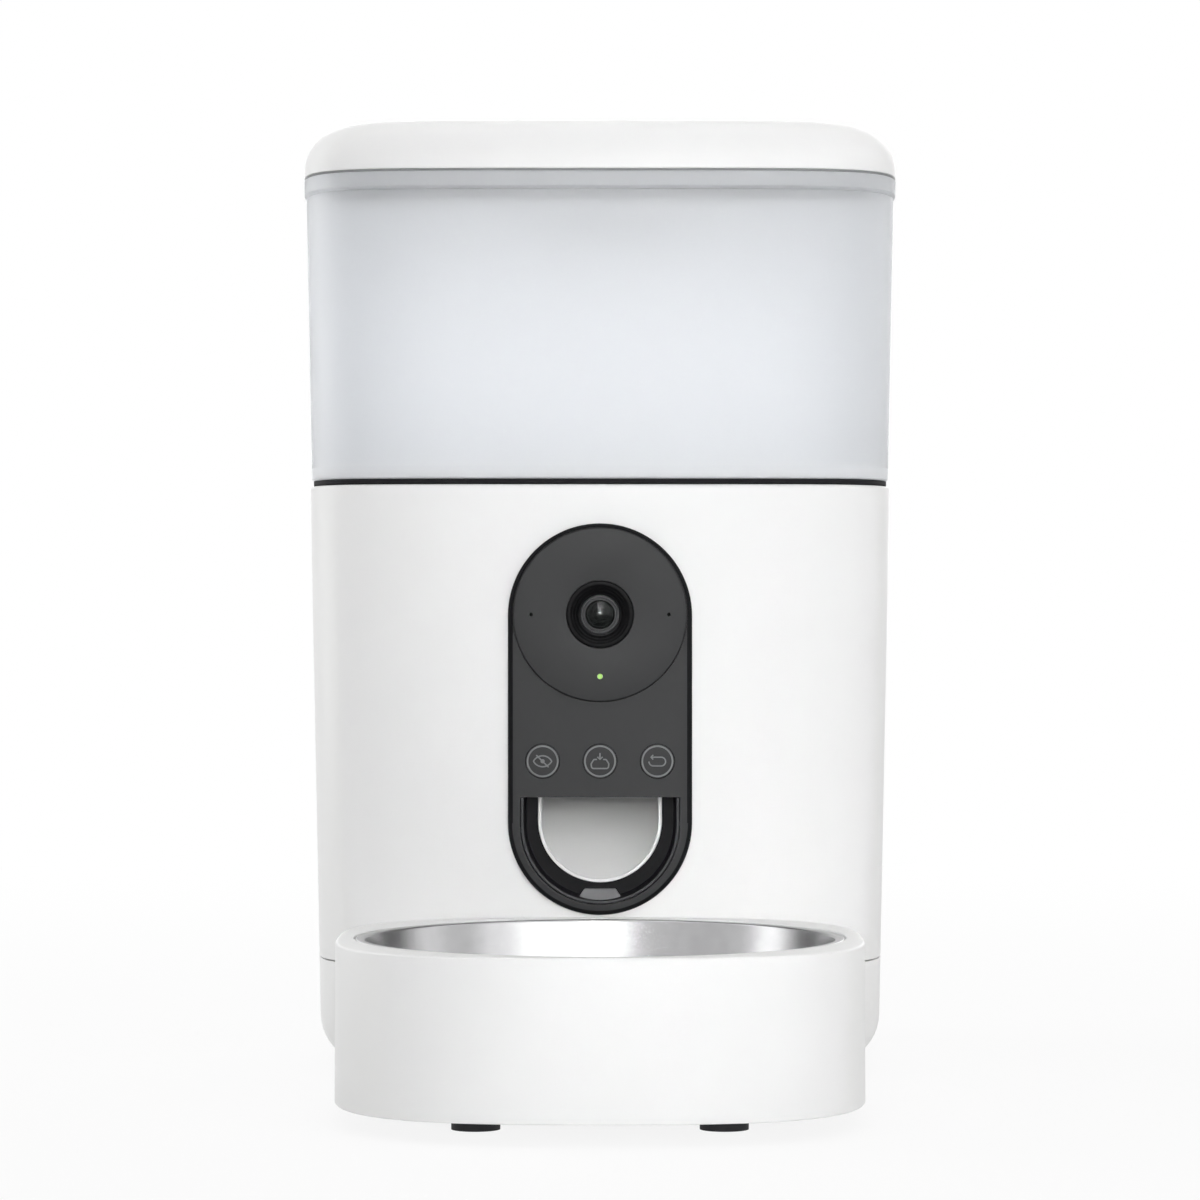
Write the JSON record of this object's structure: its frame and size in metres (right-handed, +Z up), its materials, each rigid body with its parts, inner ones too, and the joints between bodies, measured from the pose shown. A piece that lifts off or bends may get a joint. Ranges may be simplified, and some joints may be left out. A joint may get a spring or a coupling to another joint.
{
  "type": "pet feeder with camera",
  "caption": "Drafted square-tower pet feeder with a lift-off frosted hopper and lid, camera panel, metering rotor and gear train, chute, and a steel bowl in a pull-off tray.",
  "frame": {"origin": "middle of the footprint on the floor, between the back of the tower and the front of the tray", "axes": "+Z up, the front with the camera and the tray faces -Y, +X to the right seen from the front"},
  "size_m": [0.19, 0.329, 0.301],
  "materials": {
    "white_shell": "smooth white moulded plastic, satin gloss",
    "white_inner": "white moulded plastic",
    "chute_white": "light grey-white moulded plastic",
    "frosted_tank": "frosted translucent cool grey plastic",
    "frosted_funnel": "pale grey plastic",
    "panel_black": "dark grey-black satin plastic",
    "camera_grey": "dark grey-black smoked plastic",
    "bezel_grey": "black plastic",
    "key_grey": "dark grey-black plastic with a printed ring",
    "lens_black": "matt black plastic",
    "lens_glass": "coated glass",
    "status_green": "green light pipe",
    "inner_black": "black plastic",
    "gearbox_grey": "dark grey plastic",
    "gear_nylon": "natural nylon",
    "brass": "turned brass",
    "steel_parts": "plated steel",
    "bowl_steel": "polished stainless steel",
    "circuit_board": "green circuit board",
    "rubber": "dark grey rubber"
  },
  "bodies": {
    "feeder": {"base_shell": "white_shell", "base_feet": "rubber", "base_screws": "steel_parts", "body_shell": "white_shell", "deck": "white_inner", "deck_screws": "steel_parts", "outlet_shield": "white_inner", "chute": "chute_white", "drop_sensors": "inner_black", "gearbox_case": "gearbox_grey", "gearbox_cover": "gearbox_grey", "gearbox_screws": "steel_parts", "idler_pin": "steel_parts", "motor": "steel_parts", "main_board": "circuit_board", "radio_module": "steel_parts", "power_socket": "inner_black", "speaker": "inner_black", "face_panel": "panel_black", "outlet_bezel": "bezel_grey", "camera_cover": "camera_grey", "lens_hood": "lens_black", "lens_barrel": "lens_black", "lens_glass": "lens_glass", "camera_holder": "lens_black", "image_sensor": "inner_black", "camera_board": "circuit_board", "infrared_lamps": "inner_black", "microphones": "inner_black", "status_light": "status_green", "key_board": "circuit_board", "key_switches": "steel_parts"},
    "privacy_button": {"privacy_key": "key_grey"},
    "feed_button": {"feed_key": "key_grey"},
    "replay_button": {"replay_key": "key_grey"},
    "metering_rotor": {"rotor": "white_inner", "rotor_tips": "rubber", "stirrer": "white_inner", "rotor_nut": "white_inner", "drive_shaft": "steel_parts", "output_gear": "gear_nylon"},
    "idler": {"idler_gear": "gear_nylon"},
    "motor_drive": {"motor_pinion": "brass", "motor_shaft": "steel_parts"},
    "hopper": {"hopper_tank": "frosted_tank", "hopper_funnel": "frosted_funnel"},
    "lid": {"lid_cover": "white_shell", "lid_liner": "white_inner", "lid_seal": "rubber", "lid_screws": "steel_parts", "desiccant_cup": "white_inner"},
    "desiccant": {"desiccant_cap": "white_inner"},
    "tray": {"bowl_tray": "white_shell", "tray_feet": "rubber"},
    "bowl": {"steel_bowl": "bowl_steel"}
  },
  "joints": [
    {"name": "privacy_press", "type": "slide", "parent": "feeder", "child": "privacy_button", "axis": [0, 1, 0], "range_m": [0, 0.0006], "stiffness_N_per_m": 600},
    {"name": "feed_press", "type": "slide", "parent": "feeder", "child": "feed_button", "axis": [0, 1, 0], "range_m": [0, 0.0006], "stiffness_N_per_m": 600},
    {"name": "replay_press", "type": "slide", "parent": "feeder", "child": "replay_button", "axis": [0, 1, 0], "range_m": [0, 0.0006], "stiffness_N_per_m": 600},
    {"name": "rotor_spin", "type": "hinge", "parent": "feeder", "child": "metering_rotor", "pos_m": [0, 0.07, 0.1], "axis": [0, 0, 1], "continuous": true},
    {"name": "idler_spin", "type": "hinge", "parent": "feeder", "child": "idler", "pos_m": [0.0198, 0.0898, 0.085], "axis": [0, 0, 1], "continuous": true},
    {"name": "pinion_spin", "type": "hinge", "parent": "feeder", "child": "motor_drive", "pos_m": [-0.0062, 0.0898, 0.082], "axis": [0, 0, 1], "continuous": true},
    {"name": "hopper_lift", "type": "slide", "parent": "feeder", "child": "hopper", "axis": [0, 0, 1], "range_m": [0, 0.12]},
    {"name": "lid_lift", "type": "slide", "parent": "hopper", "child": "lid", "axis": [0, 0, 1], "range_m": [0, 0.1]},
    {"name": "desiccant_pull", "type": "slide", "parent": "lid", "child": "desiccant", "axis": [0, 0, -1], "range_m": [0, 0.03]},
    {"name": "tray_pull", "type": "slide", "parent": "feeder", "child": "tray", "axis": [0, -1, 0], "range_m": [0, 0.06]},
    {"name": "bowl_lift", "type": "slide", "parent": "tray", "child": "bowl", "axis": [0, 0, 1], "range_m": [0, 0.09]}
  ],
  "couplings": [
    {"joint": "idler_spin", "follows": "rotor_spin", "ratio": -3},
    {"joint": "pinion_spin", "follows": "rotor_spin", "ratio": 8.1429}
  ]
}
